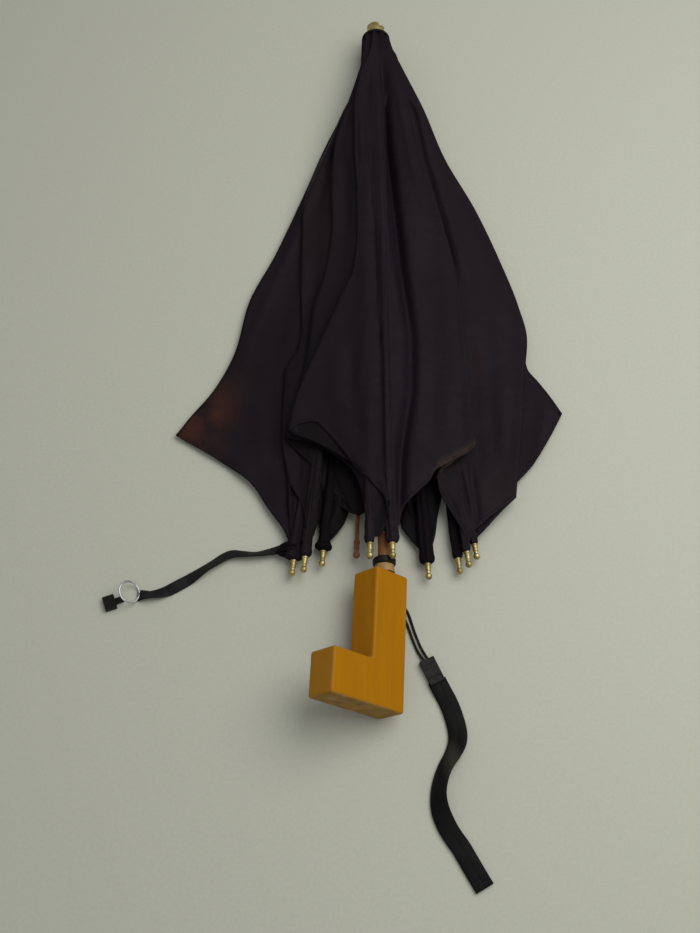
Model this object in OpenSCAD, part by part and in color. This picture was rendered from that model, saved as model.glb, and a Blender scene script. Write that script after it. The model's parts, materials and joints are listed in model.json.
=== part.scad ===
// Broken stick umbrella, closed but not furled, lying on its side on a flat surface.
// X points right, Y from the handle to the ferrule, Z up. The origin is on the
// surface, under the middle of the umbrella.

/* [Shaft] */
// Diameter of the wooden shaft
shaft_d = 8.6; // [8:0.1:9]
// Height of the shaft's axis over the surface it lies on
axis_z = 18; // [17.5:0.5:19]
// Station of the shaft's upper end, from the heel of the handle
shaft_top = 596.5; // [595:0.5:598.5]
// Depth of the shaft inside the handle
shaft_seat = 46; // [30:1:50]

/* [Ferrule] */
// Outer diameter of the broken brass ferrule
ferrule_d = 15; // [14:0.5:16]
// Length of ferrule left
ferrule_len = 13; // [11:1:15]
// Diameter of the cloth washer under the ferrule
rosette_d = 24; // [22:1:25]

/* [Handle] */
// Length of the handle's upright leg
leg_len = 95; // [92:1:96]
// Width of the leg at the heel
leg_w = 30; // [28:0.5:31]
// Width of the leg at its upper end
leg_w_top = 29.5; // [27:0.5:30]
// Thickness of the handle
handle_t = 23.4; // [22:0.2:24]
// Reach of the foot from the back of the leg
foot_len = 63.5; // [60:0.5:65]
// Height of the foot
foot_h = 31; // [28:1:33]
// Angle of the foot above the surface
foot_tilt = 43; // [41:1:45]
// Sideways lean of the handle on its shaft
handle_lean = 2.9; // [2.5:0.1:3.5]
// Radius of the worn edges
edge_r = 2; // [1.5:0.5:3]

/* [Frame] */
// Width of the steel ribs
rib_w = 2.6; // [2.2:0.2:2.8]
// Diameter of the brass rib tips
tip_d = 4.6; // [4.2:0.2:4.8]
// Length of a brass rib tip
tip_len = 14; // [12:1:15]
// Width of the stretchers
stretcher_w = 2.4; // [2:0.2:2.6]
// Outer diameter of the runner's tube
runner_d = 12.4; // [12:0.2:13]
// Station of the runner's crown
runner_y = 168; // [164:1:170]
// Share of each rib between the notch and its stretcher joint
joint_at = 0.44; // [0.42:0.01:0.46]

/* [Canopy] */
// Thickness of the canopy over the frame
cloth_t = 1.6; // [1.4:0.1:1.8]
// Thickness of the folded cloth that lies beside the frame
wing_t = 4; // [3.6:0.2:5]

/* [Straps] */
// Width of the tie strap
tie_w = 8; // [7:0.5:9]
// Width of the wrist ribbon
ribbon_w = 12.5; // [12:0.5:13]
// Diameter of the two wrist cords
cord_d = 1.8; // [1.6:0.1:2]

/* [Hidden] */

// offset from the shaft's axis at the heel to the row origin
mid = [-8.5, 303.5, 0];
az = axis_z;
fine = 48;

// ---- frame layout -------------------------------------------------------
notch_y = 576.5;              // station of the wire that holds the ribs
notch_r = 7;                // radius of that wire
crown_r = 8.2;              // radius of the runner's wire
joint_r = 12.5;             // least distance of a rib joint from the axis
pivot_in = 3.2;             // distance of a stretcher's rivet inside its rib
wheel_w = 6;                // width of the notch and of the runner's crown
catch_y = [151, 467];       // pivots of the lower and upper catch
heel_x = -7.3;              // sideways offset of the leaning handle at its heel
// rib ends: x, station, height, angle on the notch
RIB = [
  [-63.8, 99, 7, 189], [-55.6, 100, 11, 153], [-43, 106, 7, 225],
  [-10, 104, 26, 117], [5.5, 103.2, 28, 81], [31, 96.3, 7, 297],
  [52.8, 100.6, 6, 333], [58.8, 103.5, 11, 45], [65, 111, 7, 9], [-19, 112, 8, 261]];

// ---- small helpers ------------------------------------------------------
module place() translate(-mid) children();
module along_y(y, x = 0, z = axis_z) translate([x, y, z]) rotate([-90, 0, 0]) children();
function unit(v) = v / norm(v);
// children drawn along +Z go from a to b, with their +Y towards up
module aim(a, b, up = [0, 0, 1]) {
  d = unit(b - a);
  s = unit(cross(up, d));
  t = cross(d, s);
  multmatrix([[s[0], t[0], d[0], a[0]], [s[1], t[1], d[1], a[1]], [s[2], t[2], d[2], a[2]]]) children();
}
function ring_pt(r, ang, y) = [r * cos(ang), y, az + r * sin(ang)];
function smooth(t) = let(u = max(0, min(1, t))) u * u * (3 - 2 * u);
function mix(a, b, w) = a + (b - a) * w;

// ---- shaft, ferrule and top --------------------------------------------
module shaft() place() color("sienna") difference() {
  along_y(leg_len - shaft_seat) cylinder(d = shaft_d, h = shaft_top - leg_len + shaft_seat, $fn = fine);
  // slots of the two spring catches, open upwards, and their pin holes
  for (y = catch_y) {
    translate([-0.9, y - 23, az - 2.8]) cube([1.8, 27, 9]);
    translate([-6, y, az]) rotate([0, 90, 0]) cylinder(d = 1.3, h = 12, $fn = 24);
  }
  translate([-8, 482, az]) rotate([0, 90, 0]) cylinder(d = 1.7, h = 16, $fn = 24);
}
module ferrule() place() color("goldenrod") difference() {
  along_y(595.1) rotate_extrude($fn = fine)
    polygon([[shaft_d / 2 + 0.05, 0], [ferrule_d / 2 + 1.5, 0], [ferrule_d / 2 + 1.5, 1.2], [ferrule_d / 2, 2],
             [ferrule_d / 2, ferrule_len], [ferrule_d / 2 - 1, ferrule_len], [ferrule_d / 2 - 1, 3], [shaft_d / 2 + 0.05, 3]]);
  // the torn end
  translate([2, 592.5 + ferrule_len, az + 3]) rotate([18, 12, 20]) cube([12, 8, 12]);
}
module rosette() place() color("black") along_y(592.8) difference() {
  cylinder(d = rosette_d, h = 1.9, $fn = fine);
  translate([0, 0, -1]) cylinder(d = shaft_d + 0.2, h = 4, $fn = fine);
}
// a wheel with a groove for the wire and a slot for each rib or stretcher
module notch_wheel(r) difference() {
  cylinder(r = r + 1.6, h = wheel_w, center = true, $fn = fine);
  rotate_extrude($fn = fine) translate([r - 0.5, -0.6]) square([4, 1.2]);
  for (q = RIB) rotate([0, 0, -q[3]]) translate([r - 1.7, -0.95, -wheel_w]) cube([6, 1.9, 2 * wheel_w]);
}
module wire_ring(r) rotate_extrude($fn = fine) translate([r, 0]) circle(d = 0.9, $fn = 16);
module top_notch() place() color("silver") along_y(notch_y) difference() {
  notch_wheel(notch_r);
  cylinder(d = shaft_d + 0.1, h = 20, center = true, $fn = fine);
}
module notch_wire() place() color("gray") along_y(notch_y) wire_ring(notch_r);

// ---- ribs ---------------------------------------------------------------
function side_up(i) = [cos(RIB[i][3]), 0, sin(RIB[i][3])];
function rib_top(i) = ring_pt(notch_r, RIB[i][3], notch_y);
function rib_end(i) = [RIB[i][0], RIB[i][1], RIB[i][2]];
function axis_gap(p) = norm([p[0], p[2] - az]);
// the rib bends slightly at its joint, and never lies closer than joint_r there
function rib_joint(i) = let(p = mix(rib_top(i), rib_end(i), joint_at))
  p + side_up(i) * max(0, joint_r - axis_gap(p));
function rib_dir(i) = unit(rib_end(i) - rib_joint(i));
module trough(len) difference() {
  translate([-rib_w / 2, -rib_w / 2, 0]) cube([rib_w, rib_w, len]);
  translate([-rib_w / 2 + 0.45, -rib_w / 2 - 1, -1]) cube([rib_w - 0.9, rib_w + 0.55, len + 2]);
}
module rib(i) place() color("dimgray") {
  a = rib_top(i);
  b = rib_joint(i);
  c = rib_end(i);
  aim(a, b, side_up(i)) {
    // flattened eye on the notch wire
    difference() {
      translate([-0.6, -1.4, -1.4]) cube([1.2, 2.7, 9]);
      rotate([0, 90, 0]) cylinder(d = 1.1, h = 4, center = true, $fn = 24);
    }
    translate([0, 0, 6]) trough(norm(b - a) - 7.5);
    // crimped collar at the bend, over the stretcher's clip
    translate([-rib_w / 2 - 0.2, -rib_w / 2 - 0.2, norm(b - a) - 3]) cube([rib_w + 0.4, rib_w + 0.4, 6]);
  }
  aim(b, c, side_up(i)) {
    translate([0, 0, 1.5]) trough(norm(c - b) - tip_len - 0.5);
    // solid end pressed into the brass tip
    translate([-rib_w / 2 + 0.3, -rib_w / 2 + 0.3, norm(c - b) - tip_len - 5]) cube([rib_w - 0.6, rib_w - 0.6, 6.2]);
  }
}
module rib_tip(i) place() color("gold") aim(rib_end(i), rib_joint(i), side_up(i))
  rotate_extrude($fn = 24) polygon([[0, 0], [1.2, 0], [tip_d / 2, 1.2], [tip_d / 2, 3], [1.5, 4.2], [1.5, 5.4],
    [1.9, 6.2], [1.9, tip_len - 4], [2.2, tip_len - 3.4], [2.2, tip_len - 1.2], [0, tip_len - 1.2]]);

// ---- stretchers, runner and catches ------------------------------------
function crown_pt(i) = ring_pt(crown_r, RIB[i][3], runner_y);
function pivot_pt(i) = rib_joint(i) - side_up(i) * pivot_in;
module stretcher(i) place() color("slategray") {
  a = crown_pt(i);
  b = pivot_pt(i);
  l = norm(b - a);
  aim(a, b, side_up(i)) difference() {
    union() {
      translate([-0.6, -1.3, -1.3]) cube([1.2, 2.6, 9]);
      translate([-stretcher_w / 2, -0.7, 7]) cube([stretcher_w, 1.4, l - 14]);
      translate([-0.6, -1, l - 8]) cube([1.2, 2, 9]);
    }
    rotate([0, 90, 0]) cylinder(d = 1.1, h = 4, center = true, $fn = 24);
    translate([0, 0, l]) rotate([0, 90, 0]) cylinder(d = 1.1, h = 4, center = true, $fn = 24);
  }
}
// brass clip and rivet that hold a stretcher to its rib
module clip(i) aim(pivot_pt(i), crown_pt(i), side_up(i)) {
  for (x = [-1.3, 0.75]) translate([x, -1.1, -1.6]) cube([0.55, pivot_in - rib_w / 2 + 0.95, 3.2]);
  rotate([0, 90, 0]) cylinder(d = 1, h = 2.6, center = true, $fn = 24);
}
module rib_clips() place() color("darkgoldenrod") for (i = [0:9]) clip(i);
module runner() place() color("silver") difference() {
  union() {
    along_y(runner_y) notch_wheel(crown_r);
    along_y(runner_y - 44) cylinder(d = runner_d, h = 42, $fn = fine);
    along_y(runner_y - 44) cylinder(d = runner_d + 1.6, h = 3, $fn = fine);
  }
  along_y(runner_y - 50) cylinder(d = shaft_d + 0.6, h = 60, $fn = fine);
  // window for the lower catch
  translate([-1.5, 128.5, az]) cube([3, 18, 20]);
}
module runner_wire() place() color("gray") along_y(runner_y) wire_ring(crown_r);
// flat steel lever that stands out of its slot and is pushed in flush
module catch_lever(y) place() color("dimgray") translate([-0.6, y, az]) rotate([90, 0, 90]) difference() {
  linear_extrude(1.2) difference() {
    union() {
      circle(d = 3.6, $fn = 32);
      polygon([[0, -1.8], [0, 1.8], [-8, 5.2], [-12, 7.2], [-18, 7.2], [-18, 3], [-20, 3], [-20, 1.6]]);
    }
    circle(d = 1.36, $fn = 32);
  }
}
module bottom_catch() catch_lever(catch_y[0]);
module top_catch() catch_lever(catch_y[1]);
module catch_pins() place() color("gray") for (y = catch_y)
  translate([-4, y, az]) rotate([0, 90, 0]) cylinder(d = 1.2, h = 8, $fn = 24);
module stop_pin() place() color("gray") translate([-5.6, 482, az]) rotate([0, 90, 0]) cylinder(d = 1.6, h = 11.2, $fn = 24);

// ---- handle -------------------------------------------------------------
// a point of the handle: u along the foot, y up the leg, n across its thickness
function hf(u, y, n) = let(p = [-u * cos(foot_tilt) + n * sin(foot_tilt), y, u * sin(foot_tilt) + n * cos(foot_tilt)])
  [heel_x + p[0] * cos(handle_lean) + p[1] * sin(handle_lean), p[1] * cos(handle_lean) - p[0] * sin(handle_lean), az + p[2]];
module handle_frame() translate([heel_x, 0, az]) rotate([0, 0, -handle_lean]) rotate([0, 180 + foot_tilt, 0]) children();
module block(p) hull() for (q = p, z = [-1, 1])
  translate([q[0], q[1], z * (handle_t / 2 - edge_r)]) sphere(r = edge_r, $fn = 24);
module handle() place() color("goldenrod") difference() {
  handle_frame() {
    block([[-leg_w / 2 + edge_r, edge_r], [leg_w / 2 - edge_r, edge_r],
           [leg_w_top - leg_w / 2 - edge_r, leg_len - edge_r], [-leg_w / 2 + edge_r, leg_len - edge_r]]);
    block([[-leg_w / 2 + edge_r, edge_r], [foot_len - leg_w / 2 - edge_r, edge_r],
           [foot_len - leg_w / 2 - edge_r, foot_h - edge_r], [-leg_w / 2 + edge_r, foot_h - edge_r]]);
  }
  along_y(leg_len - shaft_seat) cylinder(d = shaft_d + 0.1, h = 80, $fn = fine);
  // blind hole of the wrist cord, in the back of the leg
  handle_frame() translate([-leg_w / 2 - 2, 78, 0]) rotate([0, 90, 0]) cylinder(d = 4.6, h = 8, $fn = 32);
}
module handle_collar() place() color("burlywood") along_y(96.2) difference() {
  cylinder(d1 = 14.4, d2 = 13.4, h = 5.6, $fn = fine);
  translate([0, 0, -1]) cylinder(d = shaft_d + 0.2, h = 8, $fn = fine);
}
module handle_ring() place() color("black") along_y(102) difference() {
  rotate_extrude($fn = fine) polygon([[3, 0], [7.4, 0], [8, 0.8], [8, 4], [7.2, 5], [3, 5]]);
  translate([0, 0, -1]) cylinder(d = shaft_d + 0.2, h = 8, $fn = fine);
}

// ---- flat and round bands swept along a route ---------------------------
function tangent(r, i) = unit(r[min(i + 1, len(r) - 1)] - r[max(i - 1, 0)]);
// section with s sides, w wide and t thick, turned by tw about the route
function band_ring(p, d, w, t, tw, s) =
  let(a = unit([d[1], -d[0], 0]), b = cross(a, d), c = a * cos(tw) + b * sin(tw), e = b * cos(tw) - a * sin(tw))
  [for (k = [0:s - 1]) let(g = 360 / s * (k + 0.5)) p + c * (w / 2) * cos(g) / cos(180 / s) + e * (t / 2) * sin(g) / cos(180 / s)];
module band(r, w, t, tw, s) {
  n = len(r);
  pts = [for (i = [0:n - 1]) each band_ring(r[i], tangent(r, i), w, t, tw[i], s)];
  faces = concat([[for (k = [0:s - 1]) s - 1 - k]], [[for (k = [0:s - 1]) (n - 1) * s + k]],
    [for (i = [0:n - 2], k = [0:s - 1]) let(a = i * s + k, b = i * s + (k + 1) % s) each [[a, b, a + s], [b, b + s, a + s]]]);
  polyhedron(pts, faces);
}
// height at which a band lies on the surface
function lie(w, t, tw) = w / 2 * abs(sin(tw)) + t / 2 * abs(cos(tw)) + 0.2;

// wrist cords, from the blind hole to the crimp
CORD_A = [hf(-9, 79.1, 0), hf(-13, 79.1, 0), hf(-17, 79.1, 0), hf(-20, 78.9, 0), [13.6, 77.2, 2.6], [15.6, 75, 1.4],
  [17.3, 71, 1.1], [19.1, 64.5, 1.1], [21.4, 57, 1.1], [24.2, 49.5, 1.2], [26.9, 44, 1.8], [29.2, 40, 2.1]];
CORD_B = [hf(-9, 76.9, 0), hf(-13, 76.9, 0), hf(-17, 76.6, 0), hf(-20, 75.8, 0), [12.6, 73, 2.6], [14, 69.5, 1.4],
  [15.5, 65.5, 1.1], [17.3, 60, 1.1], [19.2, 54, 1.1], [21.6, 47.7, 1.2], [24.2, 42.6, 1.8], [26.8, 39, 2.1]];
module wrist_cord_a() place() color("black") band(CORD_A, cord_d, cord_d, [for (p = CORD_A) 0], 8);
module wrist_cord_b() place() color("black") band(CORD_B, cord_d, cord_d, [for (p = CORD_B) 0], 8);
module cord_crimp() place() color("black") translate([31.3, 32.3, 0.2]) rotate([0, 0, -65.6]) difference() {
  translate([-8.8, -5.2, 0]) cube([17.6, 10.4, 4]);
  for (x = [-5, 4]) translate([x, -6, 3.5]) cube([1, 12, 2]);
}
// wrist ribbon: station points, twist at each
STRAP = [[34.2, 26, 0], [37, 20, 0], [41, 12, 0], [44.5, 2, 0], [46.5, -8, -8], [46, -16, -22], [42.5, -24, -38], [37.5, -32, -46],
  [34, -41, -46], [32.5, -50, -42], [33.5, -59, -28], [37, -68, -12], [41.5, -75.5, 0], [46, -82, 0], [51, -91, 0], [55.5, -99, 0], [59.5, -106, 0]];
module wrist_strap() place() color("black")
  band([for (q = STRAP) [q[0], q[1], lie(ribbon_w, 2.6, q[2]) + (q[1] > 19 ? 0.6 : 0)]], ribbon_w, 2.6, [for (q = STRAP) q[2]], 8);
// tie strap: station points, twist at each
TIE = [[-69, 122, -20], [-73, 120.5, -25], [-80, 118.5, -36], [-89, 116.8, -48], [-98, 117, -40], [-106, 117.2, -27], [-112, 114.5, -27], [-117, 111, -32],
  [-123, 107, -35], [-130, 102, -20], [-137, 97.5, 2], [-146, 92, 8], [-154, 88.5, -18], [-161, 87, -34], [-166, 87, -18], [-170, 87, 5]];
module tie_strap() place() color("black")
  band([for (q = TIE) [q[0], q[1], lie(tie_w, 1.4, q[2])]], tie_w, 1.4, [for (q = TIE) q[2]], 8);
module tie_ring() place() color("silver") translate([-175, 88, 5.6]) rotate([0, 38, 0])
  rotate_extrude($fn = fine) translate([7.6, 0]) circle(d = 1.3, $fn = 16);
module tie_tab() place() color("black") translate([-181, 84, 0.2]) rotate([0, 0, 200]) {
  translate([-1.6, -2, 0]) cube([6, 4, 2.2]);
  translate([4, -5, 0]) cube([8, 10, 3.6]);
}

// ---- canopy -------------------------------------------------------------
// left and right outline of the closed cloth: station, reach from the axis
LEFT = [[95, 151], [211, 151], [224, 143], [251, 124], [284, 110], [326, 102], [374, 82], [435, 60], [480, 43], [518, 30], [547, 17], [575, 13], [592.5, 12.4]];
RIGHT = [[95, 135], [228, 135], [257, 119], [268, 113], [294, 112], [324, 107], [364, 96], [415, 79], [470, 55], [523, 38], [560, 22.5], [579, 14], [592.5, 12.4]];
// half widths of the room around the frame
ROOM_L = [[80, 70], [110, 68], [371, 38], [500, 22], [576.5, 10], [592.5, 9.6]];
ROOM_R = [[80, 71], [110, 69.2], [371, 43], [500, 25], [576.5, 10], [592.5, 9.6]];
// height of the crest over the frame, and half the width over which it falls off
CREST = [[95, 34], [150, 36], [250, 37], [371, 36.5], [450, 34], [520, 32], [592.5, 31]];
FALL = [[95, 106], [150, 102], [220, 96], [300, 82], [371, 70], [450, 54], [520, 38], [592.5, 22]];
function loose(y) = 1 - smooth((y - 495) / 68);    // 1 where the cloth lies, 0 where it is gathered round
function crest_z(x, y) = mix(wing_t, lookup(y, CREST), let(r = min(1, abs(x) / lookup(y, FALL))) 0.5 * (1 + cos(180 * r)));
function skin_z(c, y, wl, wr, up, inset) =
  let(x = c < 0 ? c * wl : c * wr, e = sqrt(max(0, 1 - pow(abs(c), inset > 0 ? 24 : 10))),
      low = up ? mix(2, crest_z(x, y) - inset, e) : mix(2, inset * 0.9, e),
      r = min(wl, wr, 12.6), round = az + (up ? 1 : -1) * r * sqrt(max(0, 1 - c * c)))
  mix(round, low, loose(y));
TOPS = 30;
BOTS = 10;
function skin_ring(y, wl, wr, inset) = concat(
  [for (k = [0:TOPS - 1]) let(c = sin(90 * (-1 + 2 * k / TOPS))) [c < 0 ? c * wl : c * wr, y, skin_z(c, y, wl, wr, true, inset)]],
  [for (k = [0:BOTS - 1]) let(c = sin(90 * (1 - 2 * k / BOTS))) [c < 0 ? c * wl : c * wr, y, skin_z(c, y, wl, wr, false, inset)]]);
module skin(ys, inset) {
  s = TOPS + BOTS;
  n = len(ys);
  pts = [for (y = ys) each inset > 0
    ? skin_ring(y, lookup(y, ROOM_L), lookup(y, ROOM_R), inset)
    : skin_ring(y, lookup(y, LEFT), lookup(y, RIGHT), 0)];
  faces = concat([[for (k = [0:s - 1]) k]], [[for (k = [0:s - 1]) (n - 1) * s + s - 1 - k]],
    [for (i = [0:n - 2], k = [0:s - 1]) let(a = i * s + k, b = i * s + (k + 1) % s) each [[a, a + s, b], [b, a + s, b + s]]]);
  polyhedron(pts, faces);
}
// hem of all the cloth, and hem of the raised front panels
HEM = [[-200, 60], [-200, 216], [-151, 212], [-130, 198], [-107, 182], [-92, 168], [-82, 150], [-73.5, 130], [-69.5, 114], [-60.5, 118], [-50, 125],
  [-43, 121], [-34, 134], [-26, 138], [-19, 127], [-10, 120], [-2, 126], [5.5, 119], [15, 136], [24, 140], [31, 112], [39, 136], [47, 124],
  [53, 116], [59, 119], [65, 125], [71, 128], [80, 142], [95, 160], [100, 172], [108, 182], [119, 200], [135, 229], [200, 232], [200, 60]];
FRONT_LEFT = [[6, 100], [5, 120], [1, 147], [-5, 155], [-18, 170], [-31, 189], [-41, 202], [-50, 210], [-68, 204], [-62, 150], [-52, 100]];
FRONT_RIGHT = [[8, 100], [9, 120], [13, 141], [33, 164], [36, 172], [62, 190], [60, 150], [46, 100]];
module canopy() place() color("midnightblue") difference() {
  skin([95, 130, 160, 190, 211, 218, 224, 240, 257, 268, 284, 300, 326, 350, 374, 400, 435, 470, 500, 520, 540, 560, 576, 592.5], 0);
  skin([80, 130, 160, 190, 211, 218, 224, 240, 257, 268, 284, 300, 326, 350, 374, 400, 435, 470, 500, 520, 540, 560, 576, 584.5], cloth_t);
  along_y(572) cylinder(d = shaft_d + 0.8, h = 40, $fn = 32);
  translate([0, 0, -5]) linear_extrude(80) polygon(HEM);
  translate([0, 0, 15]) linear_extrude(80) polygon(FRONT_LEFT);
  translate([0, 0, 15]) linear_extrude(80) polygon(FRONT_RIGHT);
}

shaft();
ferrule();
rosette();
top_notch();
notch_wire();
rib(0);  // rib_01
rib(1);  // rib_02
rib(2);  // rib_03
rib(3);  // rib_04
rib(4);  // rib_05
rib(5);  // rib_06
rib(6);  // rib_07
rib(7);  // rib_08
rib(8);  // rib_09
rib(9);  // rib_10
rib_tip(0);  // rib_tip_01
rib_tip(1);  // rib_tip_02
rib_tip(2);  // rib_tip_03
rib_tip(3);  // rib_tip_04
rib_tip(4);  // rib_tip_05
rib_tip(5);  // rib_tip_06
rib_tip(6);  // rib_tip_07
rib_tip(7);  // rib_tip_08
rib_tip(8);  // rib_tip_09
rib_tip(9);  // rib_tip_10
stretcher(0);  // stretcher_01
stretcher(1);  // stretcher_02
stretcher(2);  // stretcher_03
stretcher(3);  // stretcher_04
stretcher(4);  // stretcher_05
stretcher(5);  // stretcher_06
stretcher(6);  // stretcher_07
stretcher(7);  // stretcher_08
stretcher(8);  // stretcher_09
stretcher(9);  // stretcher_10
rib_clips();
runner();
runner_wire();
bottom_catch();
top_catch();
catch_pins();
stop_pin();
handle_ring();
handle_collar();
handle();
wrist_cord_a();
wrist_cord_b();
cord_crimp();
wrist_strap();
canopy();
tie_strap();
tie_ring();
tie_tab();
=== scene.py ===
"""Looks of the broken umbrella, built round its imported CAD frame."""
import json
import math

import bmesh
import bpy
import numpy as np
from mathutils import Matrix, Vector, noise
from mathutils.bvhtree import BVHTree


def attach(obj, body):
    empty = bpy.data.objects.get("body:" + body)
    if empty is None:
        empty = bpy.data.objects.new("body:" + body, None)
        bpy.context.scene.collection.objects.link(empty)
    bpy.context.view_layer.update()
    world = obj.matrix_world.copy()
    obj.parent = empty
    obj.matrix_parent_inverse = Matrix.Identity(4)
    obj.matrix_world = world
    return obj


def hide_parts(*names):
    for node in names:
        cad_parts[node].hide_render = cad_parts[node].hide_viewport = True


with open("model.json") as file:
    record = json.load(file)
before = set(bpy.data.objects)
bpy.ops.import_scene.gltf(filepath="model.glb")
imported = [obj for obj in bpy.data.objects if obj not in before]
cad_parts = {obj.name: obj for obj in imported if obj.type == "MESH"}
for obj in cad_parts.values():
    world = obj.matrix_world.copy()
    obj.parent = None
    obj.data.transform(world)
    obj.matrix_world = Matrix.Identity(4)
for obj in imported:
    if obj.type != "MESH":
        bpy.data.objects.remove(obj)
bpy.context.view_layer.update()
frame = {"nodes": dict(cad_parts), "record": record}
scene = bpy.context.scene
NODES = frame["nodes"]

# Sizes below are millimetres in the umbrella's own axes: x across, y along the
# shaft from the handle's heel, z up from the table. OX and OY are where those
# axes sit in the row frame.
OX, OY = 8.5, -303.5
AXIS_Z = 18.0


def row(p):
    """Row frame metres of a point in the umbrella's own millimetres."""
    return ((p[0] + OX) * 0.001, (p[1] + OY) * 0.001, p[2] * 0.001)


def row_np(p):
    p = np.asarray(p, float)
    return (p + np.array([OX, OY, 0.0])) * 0.001


# ------------------------------------------------------------------ camera
cam_data = bpy.data.cameras.new("camera")
cam_data.sensor_width = 36.0
cam_data.lens = 46.3
cam_data.clip_start = 0.02
cam_data.clip_end = 30.0
camera = bpy.data.objects.new("camera", cam_data)
scene.collection.objects.link(camera)
tilt = math.radians(27.0)
yaw = 0.00208
fwd = Vector((yaw * math.sin(tilt), math.sin(tilt), -math.cos(tilt))).normalized()
right = Vector((1.0, -yaw, 0.0)).normalized()
up = right.cross(fwd).normalized()
camera.matrix_world = Matrix((
    (right.x, up.x, -fwd.x, -0.01557),
    (right.y, up.y, -fwd.y, -0.51325),
    (right.z, up.z, -fwd.z, 0.779),
    (0, 0, 0, 1)))
scene.camera = camera


# ------------------------------------------------------------------ helpers
def link(name, mesh):
    o = bpy.data.objects.new(name, mesh)
    scene.collection.objects.link(o)
    return o


def mesh_object(name, verts_mm, faces, smooth=True):
    me = bpy.data.meshes.new(name)
    me.from_pydata([tuple(v) for v in row_np(verts_mm)], [], faces)
    me.update()
    if smooth:
        me.polygons.foreach_set("use_smooth", [True] * len(me.polygons))
    return link(name, me)


def catmull(points, n):
    """n points on a smooth line through the given ones, evenly spaced along it."""
    p = np.array(points, float)
    ext = np.vstack([2 * p[0] - p[1], p, 2 * p[-1] - p[-2]])
    out = []
    for i in range(len(p) - 1):
        a, b, c, d = ext[i:i + 4]
        for t in np.linspace(0, 1, 40, endpoint=False):
            out.append(0.5 * ((2 * b) + (c - a) * t + (2 * a - 5 * b + 4 * c - d) * t * t
                              + (3 * b - a - 3 * c + d) * t ** 3))
    out.append(p[-1])
    out = np.array(out)
    xyz = out[:, :3]
    s = np.concatenate([[0], np.cumsum(np.linalg.norm(np.diff(xyz, axis=0), axis=1))])
    t = np.linspace(0, s[-1], n)
    return np.stack([np.interp(t, s, out[:, k]) for k in range(out.shape[1])], 1)


def smoothstep(t):
    t = np.clip(t, 0, 1)
    return t * t * (3 - 2 * t)


def pchip(x, y, xs):
    """Monotone cubic through the points (x, y), read at xs."""
    order = np.argsort(x)
    x, y = np.array(x, float)[order], np.array(y, float)[order]
    h, d = np.diff(x), np.diff(y) / np.diff(x)
    m = np.zeros(len(x))
    m[0], m[-1] = d[0], d[-1]
    for i in range(1, len(x) - 1):
        if d[i - 1] * d[i] > 0:
            w1, w2 = 2 * h[i] + h[i - 1], h[i] + 2 * h[i - 1]
            m[i] = (w1 + w2) / (w1 / d[i - 1] + w2 / d[i])
    xs = np.clip(xs, x[0], x[-1])
    k = np.clip(np.searchsorted(x, xs) - 1, 0, len(x) - 2)
    t = (xs - x[k]) / h[k]
    return ((2 * t ** 3 - 3 * t ** 2 + 1) * y[k] + (t ** 3 - 2 * t ** 2 + t) * h[k] * m[k]
            + (-2 * t ** 3 + 3 * t ** 2) * y[k + 1] + (t ** 3 - t ** 2) * h[k] * m[k + 1])


def frames_along(pts):
    """Tangent and level sideways direction at each point of a path."""
    t = np.gradient(pts, axis=0)
    t /= np.linalg.norm(t, axis=1)[:, None]
    side = np.cross(t, np.array([0, 0, 1.0]))
    n = np.linalg.norm(side, axis=1)
    for i in range(len(side)):
        if n[i] < 0.05:
            side[i] = side[i - 1] if i else np.array([1.0, 0, 0])
    side /= np.linalg.norm(side, axis=1)[:, None]
    return t, side, np.cross(side, t)


def skin_rings(name, rings, caps=True):
    """A closed skin through rings of equal length."""
    m = len(rings[0])
    verts = np.vstack(rings)
    faces = []
    for i in range(len(rings) - 1):
        for k in range(m):
            a, b = i * m + k, i * m + (k + 1) % m
            faces.append((a, b, b + m, a + m))
    if caps:
        faces.append(tuple(reversed(range(m))))
        base = (len(rings) - 1) * m
        faces.append(tuple(base + k for k in range(m)))
    return mesh_object(name, verts, faces)


# ------------------------------------------------------------------ materials
def new_material(name, **sockets):
    m = bpy.data.materials.new(name)
    m.use_nodes = True
    nt = m.node_tree
    nt.nodes.clear()
    out = nt.nodes.new("ShaderNodeOutputMaterial")
    b = nt.nodes.new("ShaderNodeBsdfPrincipled")
    nt.links.new(b.outputs["BSDF"], out.inputs["Surface"])
    for k, v in sockets.items():
        b.inputs[k.replace("_", " ")].default_value = v
    return m, nt, b


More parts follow.
